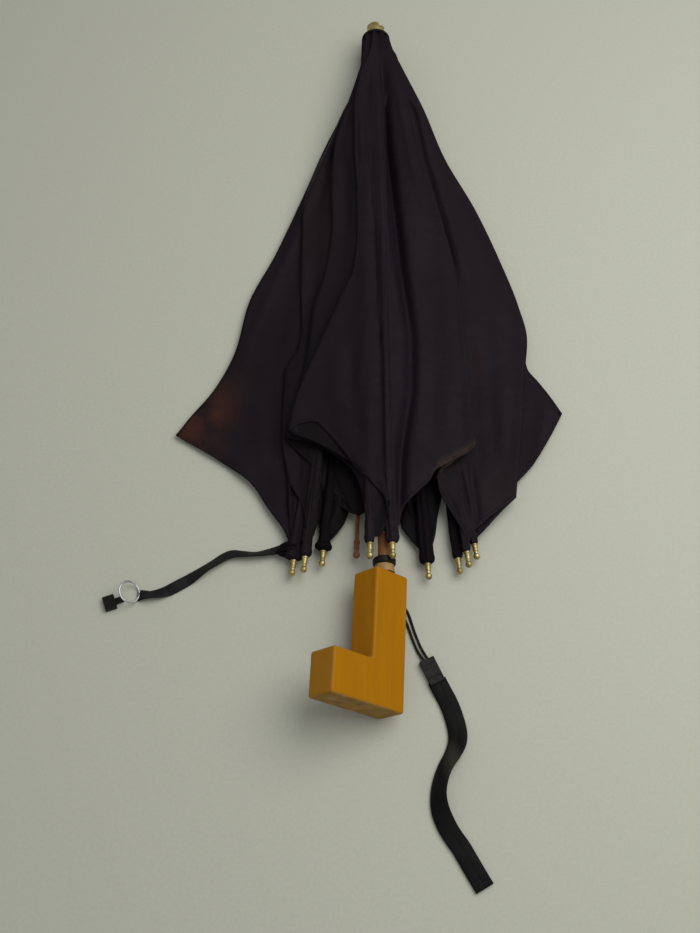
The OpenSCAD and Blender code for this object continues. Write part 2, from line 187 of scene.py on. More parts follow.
class Net:
    """Short forms for the shader nodes used below."""

    def __init__(self, nt):
        self.nt = nt
        self.co = self.add("ShaderNodeTexCoord").outputs["Object"]

    def add(self, kind, **props):
        n = self.nt.nodes.new(kind)
        for k, v in props.items():
            setattr(n, k, v)
        return n

    def link(self, a, b):
        self.nt.links.new(a, b)

    def mapped(self, scale=(1, 1, 1), rot=(0, 0, 0), src=None, loc=(0, 0, 0)):
        n = self.add("ShaderNodeMapping")
        n.inputs["Scale"].default_value = scale
        n.inputs["Rotation"].default_value = rot
        n.inputs["Location"].default_value = loc
        self.link(src or self.co, n.inputs["Vector"])
        return n.outputs["Vector"]

    def noise(self, scale, detail=3, rough=0.5, vec=None, distortion=0.0):
        n = self.add("ShaderNodeTexNoise")
        n.inputs["Scale"].default_value = scale
        n.inputs["Detail"].default_value = detail
        n.inputs["Roughness"].default_value = rough
        n.inputs["Distortion"].default_value = distortion
        self.link(vec or self.co, n.inputs["Vector"])
        return n.outputs["Fac"]

    def wave(self, scale, vec=None, direction="X", distortion=0.0, detail=2, kind="BANDS", dscale=1.0):
        n = self.add("ShaderNodeTexWave", wave_type=kind)
        if kind == "BANDS":
            n.bands_direction = direction
        n.inputs["Scale"].default_value = scale
        n.inputs["Distortion"].default_value = distortion
        n.inputs["Detail"].default_value = detail
        n.inputs["Detail Scale"].default_value = dscale
        self.link(vec or self.co, n.inputs["Vector"])
        return n.outputs["Fac"]

    def voronoi(self, scale, vec=None, feature="F1"):
        n = self.add("ShaderNodeTexVoronoi", feature=feature)
        n.inputs["Scale"].default_value = scale
        self.link(vec or self.co, n.inputs["Vector"])
        return n.outputs["Distance"]

    def ramp(self, fac, stops, mode="LINEAR"):
        n = self.add("ShaderNodeValToRGB")
        n.color_ramp.interpolation = mode
        els = n.color_ramp.elements
        while len(els) > 1:
            els.remove(els[-1])
        els[0].position, els[0].color = stops[0][0], tuple(stops[0][1]) + (1,)
        for p, c in stops[1:]:
            e = els.new(p)
            e.color = tuple(c) + (1,)
        self.link(fac, n.inputs["Fac"])
        return n.outputs["Color"]

    def span(self, fac, lo, hi, a=0.0, b=1.0):
        n = self.add("ShaderNodeMapRange", clamp=True)
        for k, v in (("From Min", lo), ("From Max", hi), ("To Min", a), ("To Max", b)):
            n.inputs[k].default_value = v
        self.link(fac, n.inputs["Value"])
        return n.outputs["Result"]

    def math(self, op, a, b=None):
        n = self.add("ShaderNodeMath", operation=op)
        for i, v in enumerate((a, b)):
            if v is None:
                continue
            if isinstance(v, (int, float)):
                n.inputs[i].default_value = v
            else:
                self.link(v, n.inputs[i])
        return n.outputs[0]

    def mix(self, fac, a, b):
        n = self.add("ShaderNodeMix", data_type="RGBA")
        for sock, v in ((n.inputs["Factor"], fac), (n.inputs["A"], a), (n.inputs["B"], b)):
            pass
        ins = [i for i in n.inputs if i.enabled]
        for sock, v in zip(ins, (fac, a, b)):
            if isinstance(v, (int, float)):
                sock.default_value = v
            elif isinstance(v, tuple):
                sock.default_value = v + (1,) if len(v) == 3 else v
            else:
                self.link(v, sock)
        return [o for o in n.outputs if o.enabled][0]

    def near(self, p_mm, radius_mm, soft=0.6, stretch=(1, 1, 1)):
        """1 near a point of the object, falling to 0 at the radius."""
        c = row(p_mm)
        m = self.add("ShaderNodeVectorMath", operation="SUBTRACT")
        self.link(self.co, m.inputs[0])
        m.inputs[1].default_value = c
        s = self.add("ShaderNodeVectorMath", operation="MULTIPLY")
        self.link(m.outputs[0], s.inputs[0])
        s.inputs[1].default_value = stretch
        l = self.add("ShaderNodeVectorMath", operation="LENGTH")
        self.link(s.outputs[0], l.inputs[0])
        return self.span(l.outputs["Value"], radius_mm * 0.001 * (1 - soft), radius_mm * 0.001, 1.0, 0.0)

    def bump(self, height, strength, dist, normal=None):
        n = self.add("ShaderNodeBump")
        n.inputs["Strength"].default_value = strength
        n.inputs["Distance"].default_value = dist
        self.link(height, n.inputs["Height"])
        if normal is not None:
            self.link(normal, n.inputs["Normal"])
        return n.outputs["Normal"]

    def attr(self, name):
        n = self.add("ShaderNodeAttribute", attribute_name=name)
        return n.outputs["Fac"]


def cloth_material(name, worn=False, dark=1.0):
    m, nt, b = new_material(name, Roughness=0.62, Specular_IOR_Level=0.078 * dark,
                            Sheen_Weight=0.012 * dark, Sheen_Roughness=0.4,
                            Sheen_Tint=(0.70, 0.52, 0.72, 1))
    n = Net(nt)
    big = n.noise(14, 4, 0.6)
    base = n.ramp(big, [(0.30, tuple(dark * k for k in (0.0064, 0.0041, 0.0057))),
                        (0.62, tuple(dark * k for k in (0.0094, 0.0061, 0.0091))),
                        (0.85, tuple(dark * k for k in (0.0118, 0.0080, 0.0110)))])
    if dark == 1.0:
        # painted shade: the leaves that lie folded under others get a darker colour, by an amount kept on the mesh
        base = n.mix(n.attr("inside"), base, (0.0040, 0.0030, 0.0036))
    # faint swirls left in the dye where water has dried
    warp = n.noise(9, 3, 0.5)
    ring = n.wave(5.5, vec=n.mapped((7, 7, 7)), kind="RINGS", distortion=9.0, detail=2.5, dscale=1.3)
    swirl = n.span(ring, 0.70, 1.0, 0.0, 0.05)
    swirl = n.math("MULTIPLY", swirl, n.span(warp, 0.45, 0.62))
    c = n.mix(swirl, base, (0.028, 0.023, 0.029))
    # brown, faded dye at the left corner and in a few other places
    stain = n.near((-133, 227, 4), 35, 0.9, (1.0, 0.8, 1.0))
    stain = n.math("MULTIPLY", stain, n.span(n.noise(38, 3, 0.6), 0.30, 0.62))
    c = n.mix(n.math("MULTIPLY", stain, 0.9), c, (0.058, 0.018, 0.011))
    s2 = n.math("MULTIPLY", n.near((-118, 250, 4), 30, 0.9), 0.28)
    c = n.mix(s2, c, (0.026, 0.013, 0.009))
    s3 = n.math("MULTIPLY", n.near((74, 268, 20), 17, 0.9, (1.2, 0.6, 1)), 0.30)
    c = n.mix(s3, c, (0.030, 0.013, 0.009))
    s4 = n.math("MULTIPLY", n.near((-48, 400, 18), 42, 0.8, (1.8, 0.6, 1)), 0.30)
    c = n.mix(s4, c, (0.016, 0.011, 0.008))
    s5 = n.math("MULTIPLY", n.near((88, 158, 8), 42, 0.9), 0.25)
    c = n.mix(s5, c, (0.024, 0.013, 0.013))
    rub = n.math("MULTIPLY", n.attr("browned"), n.span(n.noise(120, 3, 0.6), 0.30, 0.60, 0.35, 0.9))
    c = n.mix(rub, c, (0.042, 0.028, 0.020))
    if worn:
        w = n.near((50, 180, 22), 24, 0.6)
        w = n.math("MULTIPLY", w, n.span(n.noise(160, 3, 0.6), 0.35, 0.60, 0.25, 1.0))
        c = n.mix(w, c, (0.036, 0.024, 0.017))
    n.link(c, b.inputs["Base Color"])
    r = n.span(n.noise(30, 3, 0.6), 0.3, 0.7, 0.55, 0.72)
    n.link(r, b.inputs["Roughness"])
    # weave: two thread directions and the small crumple of old cloth
    t1 = n.wave(640, direction="X", detail=0)
    t2 = n.wave(640, direction="Y", detail=0)
    weave = n.math("MULTIPLY", t1, t2)
    nb = n.bump(weave, 0.22, 0.00012)
    crumple = n.noise(70, 5, 0.62, distortion=0.6)
    nb = n.bump(crumple, 0.28, 0.0022, nb)
    soft = n.noise(24, 2, 0.5, vec=n.mapped((1.0, 0.35, 1.0)))
    nb = n.bump(soft, 0.22, 0.006, nb)
    n.link(nb, b.inputs["Normal"])
    return m


def webbing_material(name, shine=0.5, spec=0.16, sheen=0.02, greyed=None):
    m, nt, b = new_material(name, Roughness=shine, Specular_IOR_Level=spec,
                            Sheen_Weight=sheen, Sheen_Roughness=0.4)
    n = Net(nt)
    c = n.ramp(n.noise(60, 4, 0.6), [(0.3, (0.0042, 0.0038, 0.0037)), (0.75, (0.0092, 0.0086, 0.0085))])
    if greyed:
        g = n.near(greyed, 15, 0.7, (1.9, 0.85, 1.0))
        g = n.math("MULTIPLY", g, n.span(n.noise(70, 3, 0.6), 0.25, 0.55, 0.5, 1.0))
        c = n.mix(g, c, (0.040, 0.037, 0.029))
    n.link(c, b.inputs["Base Color"])
    rib = n.wave(420, direction="DIAGONAL", detail=0)
    cross = n.wave(420, vec=n.mapped((1, 1, 1), (0, 0, math.pi / 2)), direction="DIAGONAL", detail=0)
    nb = n.bump(n.math("MULTIPLY", rib, cross), 0.55, 0.00025)
    nb = n.bump(n.noise(180, 3, 0.6), 0.25, 0.0008, nb)
    n.link(nb, b.inputs["Normal"])
    n.link(n.span(n.noise(90, 2), 0.3, 0.7, shine - 0.08, shine + 0.15), b.inputs["Roughness"])
    return m


def handle_material():
    m, nt, b = new_material("handle_wood", Roughness=0.42, Specular_IOR_Level=0.07,
                            Coat_Weight=0.02, Coat_Roughness=0.25)
    n = Net(nt)
    along = n.mapped((34, 3.0, 34), (0, 0, math.radians(-2.9)))
    grain = n.noise(6.5, 6, 0.62, vec=along, distortion=0.35)
    fine = n.noise(26, 3, 0.6, vec=along)
    c = n.ramp(grain, [(0.28, (0.315, 0.122, 0.0002)), (0.5, (0.345, 0.137, 0.0003)), (0.72, (0.368, 0.150, 0.0004))])
    c = n.mix(n.span(fine, 0.55, 0.75, 0, 0.06), c, (0.25, 0.085, 0.001))
    # brown rubbed faces and edges; the mesh says how worn each place is
    wear = n.math("MULTIPLY", n.attr("wear"), n.span(n.noise(75, 5, 0.65), 0.30, 0.62, 0.35, 1.0))
    c = n.mix(wear, c, (0.315, 0.190, 0.048))
    grime = n.math("MULTIPLY", n.attr("grime"), n.span(n.noise(120, 4, 0.7), 0.32, 0.6))
    c = n.mix(grime, c, (0.060, 0.028, 0.008))
    bare = n.math("MULTIPLY", n.attr("bare"), n.span(n.noise(140, 4, 0.7), 0.50, 0.62))
    c = n.mix(bare, c, (0.33, 0.26, 0.15))
    n.link(c, b.inputs["Base Color"])
    n.link(n.span(wear, 0, 1, 0.36, 0.66), b.inputs["Roughness"])
    nb = n.bump(n.noise(60, 4, 0.55), 0.12, 0.0012)
    nb = n.bump(grain, 0.03, 0.0005, nb)
    n.link(nb, b.inputs["Normal"])
    return m


def wood_material(name, stops, rough=0.5):
    m, nt, b = new_material(name, Roughness=rough, Specular_IOR_Level=0.4, Coat_Weight=0.15, Coat_Roughness=0.3)
    n = Net(nt)
    grain = n.noise(8, 6, 0.65, vec=n.mapped((60, 4, 60)), distortion=0.4)
    n.link(n.ramp(grain, stops), b.inputs["Base Color"])
    n.link(n.bump(grain, 0.2, 0.0006), b.inputs["Normal"])
    n.link(n.span(n.noise(80, 3), 0.3, 0.7, rough - 0.06, rough + 0.12), b.inputs["Roughness"])
    return m


def brass_material(name="brass"):
    m, nt, b = new_material(name, Metallic=0.85, Roughness=0.42)
    n = Net(nt)
    patina = n.noise(220, 5, 0.7)
    c = n.ramp(patina, [(0.30, (0.17, 0.120, 0.040)), (0.52, (0.43, 0.34, 0.125)), (0.8, (0.64, 0.56, 0.32))])
    n.link(c, b.inputs["Base Color"])
    n.link(n.span(patina, 0.3, 0.7, 0.58, 0.34), b.inputs["Roughness"])
    n.link(n.bump(n.noise(600, 3, 0.6), 0.25, 0.0004), b.inputs["Normal"])
    return m


def steel_material(name, rust=0.0, dark=(0.10, 0.10, 0.105), light=(0.32, 0.32, 0.33), rough=0.4):
    m, nt, b = new_material(name, Metallic=0.9, Roughness=rough)
    n = Net(nt)
    c = n.ramp(n.noise(160, 4, 0.6), [(0.3, dark), (0.75, light)])
    spots = n.noise(95, 6, 0.72)
    mask = n.span(spots, 0.66 - 0.42 * rust, 0.74 - 0.36 * rust)
    c = n.mix(mask, c, n.ramp(n.noise(330, 4, 0.7), [(0.3, (0.085, 0.030, 0.012)), (0.7, (0.235, 0.090, 0.030))]))
    n.link(c, b.inputs["Base Color"])
    n.link(n.span(mask, 0, 1, rough, 0.85), b.inputs["Roughness"])
    n.link(n.span(mask, 0, 1, 0.9, 0.05), b.inputs["Metallic"])
    n.link(n.bump(spots, 0.35, 0.0005), b.inputs["Normal"])
    return m


def plastic_material(name, rough=0.4):
    m, nt, b = new_material(name, Roughness=rough, Specular_IOR_Level=0.12)
    n = Net(nt)
    c = n.ramp(n.noise(120, 4, 0.6), [(0.3, (0.0055, 0.0050, 0.0046)), (0.8, (0.012, 0.011, 0.0095))])
    n.link(c, b.inputs["Base Color"])
    n.link(n.span(n.noise(200, 4), 0.35, 0.7, rough - 0.08, rough + 0.18), b.inputs["Roughness"])
    n.link(n.bump(n.noise(420, 3, 0.6), 0.2, 0.0004), b.inputs["Normal"])
    return m


MAT = {
    "cloth": cloth_material("cloth"),
    "hem": cloth_material("cloth_hem", worn=True),
    # a darker copy of the cloth: painted shade for the gathered cloth at the rib tips
    "cloth_painted_shade": cloth_material("cloth_painted_shade", dark=0.55),
    "webbing": webbing_material("webbing", 0.55),
    "tape": webbing_material("tape", 0.5, 0.07, 0.006, greyed=(41, -26, 12)),
    "handle_wood": handle_material(),
    "shaft_wood": wood_material("shaft_wood", [(0.3, (0.120, 0.036, 0.007)), (0.55, (0.23, 0.078, 0.014)), (0.8, (0.32, 0.120, 0.024))]),
    "collar_wood": wood_material("collar_wood", [(0.3, (0.23, 0.125, 0.035)), (0.6, (0.33, 0.20, 0.065)), (0.8, (0.42, 0.27, 0.10))]),
    "brass": brass_material(),
    "rib_steel": steel_material("rib_steel", rust=0.45),
    "bright_steel": steel_material("bright_steel", rust=0.0, dark=(0.36, 0.36, 0.37), light=(0.62, 0.62, 0.63), rough=0.28),
    "rust": steel_material("rust", rust=1.0),
    "black_plastic": plastic_material("black_plastic"),
}


def paint(o, key):
    o.data.materials.clear()
    o.data.materials.append(MAT[key])


record_slots = {s["node"]: s["material_slot"] for s in frame["record"]["subparts"]}
for name, o in NODES.items():
    paint(o, record_slots.get(name, "bright_steel"))
for name in ("rib_10", "stretcher_10", "rib_tip_10"):
    paint(NODES[name], "rust")


def finish_piece(o, mat, body="umbrella"):
    paint(o, mat)
    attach(o, body)
    return o


# ------------------------------------------------------------------ cords
THETA, LAM = math.radians(43.0), math.radians(2.9)
HEEL_X = -7.3


def hf(u, y, n):
    """A point of the handle: u across the leg towards the foot, y along it, n through it."""
    p0 = -u * math.cos(THETA) + n * math.sin(THETA)
    p2 = u * math.sin(THETA) + n * math.cos(THETA)
    return [HEEL_X + p0 * math.cos(LAM) + y * math.sin(LAM), y * math.cos(LAM) - p0 * math.sin(LAM), AXIS_Z + p2]


CORD_A = [hf(-9, 79.1, 0), hf(-13, 79.1, 0), hf(-17, 79.1, 0), hf(-20, 78.9, 0), [13.6, 77.2, 2.6], [15.6, 75, 1.4],
          [17.3, 71, 1.1], [19.1, 64.5, 1.1], [21.4, 57, 1.1], [24.2, 49.5, 1.2], [26.9, 44, 1.8], [29.2, 40, 2.1]]
CORD_B = [hf(-9, 76.9, 0), hf(-13, 76.9, 0), hf(-17, 76.6, 0), hf(-20, 75.8, 0), [12.6, 73, 2.6], [14, 69.5, 1.4],
          [15.5, 65.5, 1.1], [17.3, 60, 1.1], [19.2, 54, 1.1], [21.6, 47.7, 1.2], [24.2, 42.6, 1.8], [26.8, 39, 2.1]]


def round_cord(name, route, d, lay=7.0):
    """A laid cord: a tube whose strands wind round it."""
    pts = catmull(route, 90)
    t, side, lift = frames_along(pts)
    s = np.concatenate([[0], np.cumsum(np.linalg.norm(np.diff(pts, axis=0), axis=1))])
    rings = []
    m = 18
    for i in range(len(pts)):
        a = np.arange(m) * 2 * math.pi / m
        r = d / 2 * (0.94 + 0.06 * np.cos(3 * a + s[i] * 2 * math.pi / lay * 3))
        rings.append(pts[i] + np.outer(r * np.cos(a), side[i]) + np.outer(r * np.sin(a), lift[i]))
    o = skin_rings(name, rings)
    return o, pts


for nm, route, hole in (("wrist_cord_a", CORD_A, hf(-15, 79.1, 0)), ("wrist_cord_b", CORD_B, hf(-15, 76.9, 0))):
    piece, pts = round_cord("look_" + nm, route, 1.8)
    finish_piece(piece, "webbing")
    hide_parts(nm)

STRAP = [[34.2, 26, 0], [37, 20, 0], [41, 12, 0], [44.5, 2, 0], [46.5, -8, -8], [46, -16, -22], [42.5, -24, -38],
         [37.5, -32, -46], [34, -41, -46], [32.5, -50, -42], [33.5, -59, -28], [37, -68, -12], [41.5, -75.5, 0],
         [46, -82, 0], [51, -91, 0], [55.5, -99, 0], [59.5, -106, 0]]
TIE = [[-69, 122, -20], [-73, 120.5, -25], [-80, 118.5, -36], [-89, 116.8, -48], [-98, 117, -40], [-106, 117.2, -27],
       [-112, 114.5, -27], [-117, 111, -32], [-123, 107, -35], [-130, 102, -20], [-137, 97.5, 2], [-146, 92, 8],
       [-154, 88.5, -18], [-161, 87, -34], [-166, 87, -18], [-170, 87, 5]]


def lie(w, t, tw):
    a = math.radians(tw)
    return w / 2 * abs(math.sin(a)) + t / 2 * abs(math.cos(a)) + 0.2


def band_section(w, t, split=0.0, k=10):
    """Outline of a woven band: rounded selvedges, a slightly thinner middle, and a groove in
    each edge where two layers lie on each other."""
    xs = np.linspace(-1, 1, k)
    top = []
    for x in xs:
        thick = 0.5 * t * (0.86 + 0.14 * math.cos(6 * math.pi * x)) if abs(x) < 0.999 else 0.28 * t
        top.append((x * w / 2, thick))
    edge = [(w / 2 + 0.12, 0.16 * t), (w / 2 - split, 0.0), (w / 2 + 0.12, -0.16 * t)]
    bottom = [(x, -z) for x, z in reversed(top)]
    edge2 = [(-x, z) for x, z in reversed(edge)]
    edge2 = [(-w / 2 - 0.12, -0.16 * t), (-w / 2 + split, 0.0), (-w / 2 - 0.12, 0.16 * t)]
    return np.array(top + edge + bottom + edge2)


def band(name, route, w, t, split, n, raise_near=None):
    pts2 = catmull(route, n)
    z = np.array([lie(w, t, p[2]) + (raise_near(p) if raise_near else 0) for p in pts2])
    pts = np.stack([pts2[:, 0], pts2[:, 1], z], 1)
    tan, side, lift = frames_along(pts)
    sec = band_section(w, t, split)
    rings = []
    for i in range(n):
        a = math.radians(pts2[i, 2])
        wide = side[i] * math.cos(a) + lift[i] * math.sin(a)
        thin = -side[i] * math.sin(a) + lift[i] * math.cos(a)
        shrink = 1.0
        rings.append(pts[i] + np.outer(sec[:, 0] * shrink, wide) + np.outer(sec[:, 1], thin))
    return skin_rings(name, rings), pts


wrist, wrist_pts = band("wrist_ribbon", STRAP, 12.3, 2.4, 0.9, 120, lambda p: 0.6 * float(smoothstep((p[1] - 16) / 6)))
finish_piece(wrist, "tape")
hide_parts("wrist_strap")

tie, tie_pts = band("tie_band", TIE, 7.8, 1.3, 0.35, 120)
finish_piece(tie, "webbing")
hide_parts("tie_strap")

# ------------------------------------------------------------------ handle
# An L cut from a square bar, its corners rounded by hand and by use.
def build_handle():
    bm = bmesh.new()
    outline = [(-15, 0), (48.5, 0), (48.5, 31), (14.8, 31), (14.5, 95), (-15, 95)]
    loops = []
    for n in (-11.7, 11.7):
        loops.append([bm.verts.new((u, y, n)) for u, y in outline])
    bm.faces.new(loops[1])
    bm.faces.new(list(reversed(loops[0])))
    k = len(outline)
    for i in range(k):
        j = (i + 1) % k
        bm.faces.new((loops[0][i], loops[0][j], loops[1][j], loops[1][i]))
    bmesh.ops.recalc_face_normals(bm, faces=bm.faces)
    bmesh.ops.bevel(bm, geom=list(bm.edges), offset=2.3, segments=6, profile=0.55, affect="EDGES")
    # cut the long faces so that they can be slightly uneven
    for axis, cuts in ((0, np.arange(-14, 48, 3.0)), (1, np.arange(2, 94, 3.0)), (2, np.arange(-10, 11, 3.3))):
        for c in cuts:
            co = [0, 0, 0]
            no = [0, 0, 0]
            co[axis], no[axis] = float(c), 1
            bmesh.ops.bisect_plane(bm, geom=list(bm.verts) + list(bm.edges) + list(bm.faces), plane_co=co, plane_no=no)
    bmesh.ops.remove_doubles(bm, verts=bm.verts, dist=0.01)
    me = bpy.data.meshes.new("handle_body")
    bm.to_mesh(me)
    bm.free()
    uyn = np.array([v.co for v in me.vertices])
    nor = np.array([v.normal for v in me.vertices])
    out = np.zeros_like(uyn)
    wear = np.zeros(len(uyn))
    grime = np.zeros(len(uyn))
    bare = np.zeros(len(uyn))
    for i, (u, y, n) in enumerate(uyn):
        p = Vector((u, y, n))
        d = -0.16 * (0.5 + 0.5 * noise.noise(p * 0.09)) - 0.05 * (0.5 + 0.5 * noise.noise(p * 0.3))
        # small dent where the leg meets the foot, and a knock on the heel
        for c, r, depth in (((10, 17, 11.7), 2.2, 0.5), ((28, 5, 11.7), 1.8, 0.35), ((-15, 40, 4), 2.5, 0.3), ((48, 20, 6), 2.6, 0.4)):
            q = (p - Vector(c)).length
            if q < 2.2 * r:
                d -= depth * math.exp(-(q / r) ** 2)
        q = np.array([u, y, n]) + nor[i] * d
        out[i] = hf(*q)
        edge = 1 - np.max(np.abs(nor[i]))
        heel = max(0.0, -nor[i][1])
        tip = max(0.0, nor[i][0]) if u > 30 else 0.0
        wear[i] = min(1.0, 0.9 * heel ** 2 + 0.28 * tip ** 2 + 1.1 * edge * (0.5 + 0.5 * noise.noise(p * 0.12)))
        grime[i] = min(1.0, 0.55 * heel ** 3 * (0.5 + 0.9 * noise.noise(p * 0.11)) + 0.9 * edge * max(0.0, noise.noise(p * 0.17 + Vector((9, 0, 0)))))
        bare[i] = min(1.0, 0.8 * heel ** 3 * max(0.0, 0.35 + noise.noise(p * 0.14 + Vector((3, 7, 1))))
                      + 1.2 * edge * max(0.0, noise.noise(p * 0.21 + Vector((0, 5, 2)))))
    me.vertices.foreach_set("co", row_np(out).ravel())
    for nm, arr in (("wear", wear), ("grime", grime), ("bare", bare)):
        at = me.attributes.new(nm, "FLOAT", "POINT")
        at.data.foreach_set("value", np.clip(arr, 0, 1).astype(np.float32))
    me.polygons.foreach_set("use_smooth", [True] * len(me.polygons))
    me.update()
    o = link("handle_body", me)
    bm = bmesh.new()
    bm.from_mesh(me)
    bmesh.ops.recalc_face_normals(bm, faces=bm.faces)
    bm.to_mesh(me)
    bm.free()
    return o


handle = build_handle()
finish_piece(handle, "handle_wood")
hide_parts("handle")

# ------------------------------------------------------------------ canopy
RIB = {1: (-63.8, 99, 7, 189), 2: (-55.6, 100, 11, 153), 3: (-43, 106, 7, 225), 4: (-10, 104, 26, 117),
       5: (5.5, 103.2, 28, 81), 6: (31, 96.3, 7, 297), 7: (52.8, 100.6, 6, 333), 8: (58.8, 103.5, 11, 45),
       9: (65, 111, 7, 9), 10: (-19, 112, 8, 261)}
TOP_Y = 592.7


def ring_pt(r, ang, y):
    return np.array([r * math.cos(math.radians(ang)), y, AXIS_Z + r * math.sin(math.radians(ang))])


def rib_points(i):
    x, y, z, ang = RIB[i]
    up_dir = np.array([math.cos(math.radians(ang)), 0, math.sin(math.radians(ang))])
    a, c = ring_pt(7, ang, 576.5), np.array([x, y, z], float)
    p = a + (c - a) * 0.44
    gap = math.hypot(p[0], p[2] - AXIS_Z)
    return a, p + up_dir * max(0, 12.5 - gap), c, up_dir


ROWS = 150
VV = np.linspace(0, 1, ROWS + 1)


def seam(i):
    """Where the cloth lies along rib i, from the top of the umbrella to the rib's tip."""
    a, b, c, up_dir = rib_points(i)
    d = (b - c) / np.linalg.norm(b - c)
    keys = [ring_pt(9.7, RIB[i][3], TOP_Y), ring_pt(10.0, RIB[i][3], 585), a + up_dir * 3.2, a + (b - a) * 0.5 + up_dir * 2.9,
            b + up_dir * 2.6, b + (c - b) * 0.5 + up_dir * 2.4]
    if i == 10:
        # the corner that has come off its rib
        keys += [np.array([-13.5, 215, 9.5]), np.array([-16, 166, 10.2]), np.array([-16.5, 143.5, 10.5])]
    else:
        keys += [c + d * 30 + up_dir * 2.2, c + d * 15.5 + up_dir * 1.5]
    k = np.array(keys)
    ys = k[0, 1] + (k[-1, 1] - k[0, 1]) * VV
    return np.stack([pchip(k[:, 1], k[:, 0], ys), ys, pchip(k[:, 1], k[:, 2], ys)], 1)


# Folded edge of each panel, from the top down: station, x, z. The first two numbers of
# each entry are the angle at which the fold starts round the top.
FOLDS = {
    "54": (99, [(575, -5, 30.5), (545, -14, 30.5), (505, -19, 29.5), (462, -19, 29), (415, -17, 28.5), (380, -17, 28.5),
                (344, -20, 28), (318, -30, 27), (302, -36, 26), (277, -46, 24.5), (240, -60, 23), (218, -66, 22), (204, -68, 21)]),
    "42": (135, [(575, -10.5, 27.5), (545, -17, 25.5), (505, -27, 24), (465, -36, 22), (430, -37.5, 20), (395, -37, 18.5),
                 (350, -42, 17.5), (316, -51, 16.5), (280, -55, 15), (250, -60, 14), (205, -71, 11)]),
    "21": (171, [(580, -12.6, 20), (547, -16, 17), (518, -28.2, 13), (480, -41.3, 10), (435, -57.5, 8.5), (400, -61, 9.5),
                 (340, -61, 10.5), (300, -60, 10.5), (283, -62, 10.5), (262, -72, 9), (210, -73, 9), (168, -66, 10)]),
    "13": (207, [(580, -12.6, 12.5), (547, -16.2, 10.5), (518, -29.4, 7.5), (480, -44.6, 5.5), (435, -60, 4.5), (374, -82, 4.2),
                 (326, -102, 4), (284, -110, 4), (251, -124, 3.6), (224, -143, 3.2), (211, -151, 3.6)]),
    "310": (243, [(580, -6, 6.5), (547, -12, 5), (500, -27, 3.2), (450, -41, 2.4), (374, -62, 2.0), (300, -75, 1.8),
                  (250, -80, 1.8), (200, -66, 2.2), (172, -50, 3.0)]),
    "106": (279, [(580, 2, 5.4), (547, 6, 4.5), (500, 20, 3.0), (450, 34, 2.2), (374, 56, 1.6), (300, 72, 1.4), (250, 78, 1.4),
                  (200, 66, 1.6), (172, 50, 2.0)]),
    "67": (315, [(580, 9, 8.5), (547, 16, 7), (500, 32, 4.5), (450, 50, 3), (374, 72, 2.2), (300, 86, 2), (250, 92, 2),
                 (195, 80, 2.4)]),
    "79": (351, [(580, 13, 16), (562, 20, 12), (523, 34, 8), (470, 51, 5), (415, 74, 3.8), (364, 92, 3.4), (324, 102, 3.2),
                 (294, 108, 3.2), (268, 111, 3.2), (257, 118, 3.2), (245, 125.5, 3.2), (229, 134, 3.4)]),
    "98": (27, [(585, 14, 23), (562, 23.4, 18.5), (523, 38.8, 12.5), (470, 55.2, 8.5), (415, 79, 7), (364, 96, 6.6),
                (324, 107, 6.6), (294, 112, 6.8), (268, 109, 8), (250, 106.5, 9), (217, 103, 10), (176, 97, 10.5), (157, 94.5, 10.5)]),
    "85": (63, [(585, 10, 29), (570, 17, 28.5), (540, 22, 28), (515, 26, 27), (498, 29, 26), (470, 33, 25.5), (437, 40, 24.5),
                (400, 48, 23.4), (344, 58, 22.4), (300, 62, 22.2), (240, 64.5, 22.8), (215, 65.5, 23), (192, 67, 22.6)]),
}


def station(y):
    """Stations over 500 are drawn together towards the gathered top."""
    return y if y <= 500 else 500 + (y - 500) * (TOP_Y - 500) / 100.2


def fold_line(key):
    ang, pts = FOLDS[key]
    top = ring_pt(12.2, ang, TOP_Y)
    k = np.array([top] + [[x, station(y), z] for y, x, z in pts])
    ys = k[0, 1] + (k[-1, 1] - k[0, 1]) * VV
    return np.stack([pchip(k[:, 1], k[:, 0], ys), ys, pchip(k[:, 1], k[:, 2], ys)], 1)


# Hem of each half panel from its rib tip to its folded corner; ends are added in code.
HEMS = {
    "54a": [(4, 124), (1, 147), (-5, 156), (-18, 172), (-31, 191.5), (-41, 204.5), (-50, 212), (-60, 210)],
    "54b": [(-6, 119), (1.5, 126), (4, 139), (0, 153), (-14, 171), (-34, 187), (-52, 198)],
    "42a": [(-12, 128), (-14, 150), (-20, 172), (-36, 190), (-52, 200)],
    "42b": [(-48.5, 128), (-44.5, 150), (-43.5, 168), (-49, 180), (-59, 191)],
    "21a": [(-54, 130), (-57, 150)],
    "21b": [(-65, 130), (-66, 150)],
    "13a": [(-68, 130), (-82, 152), (-92.5, 169), (-107, 182), (-130, 198)],
    "13b": [(-44, 133), (-47, 147), (-62, 160), (-86, 174), (-105, 187.5), (-129, 201.5)],
    "310a": [(-36, 127), (-29, 137), (-23, 148)],
    "310b": [(-19, 144), (-26, 147.5), (-36, 157)],
    "106a": [(-11, 147), (0, 156)],
    "106b": [(25, 120), (16, 131), (10.5, 145)],
    "67a": [(36, 128), (38.5, 145), (43, 165), (58, 183)],
    "67b": [(47, 126), (46, 142), (49, 162), (60, 180)],
    "79a": [(56, 130), (66, 150), (92, 190), (116, 212)],
    "79b": [(70, 135), (84, 157), (100, 175), (108, 184), (119, 201)],
    "98a": [(70, 132), (80, 143), (88, 151)],
    "98b": [(63, 130), (73, 140), (84, 149)],
    "85a": [(53, 134), (46, 146), (40, 158), (38.5, 169), (50, 180)],
    "85b": [(10, 128), (13, 141), (24, 154), (33, 164), (36.5, 171.5), (48, 179), (61, 187)],
}
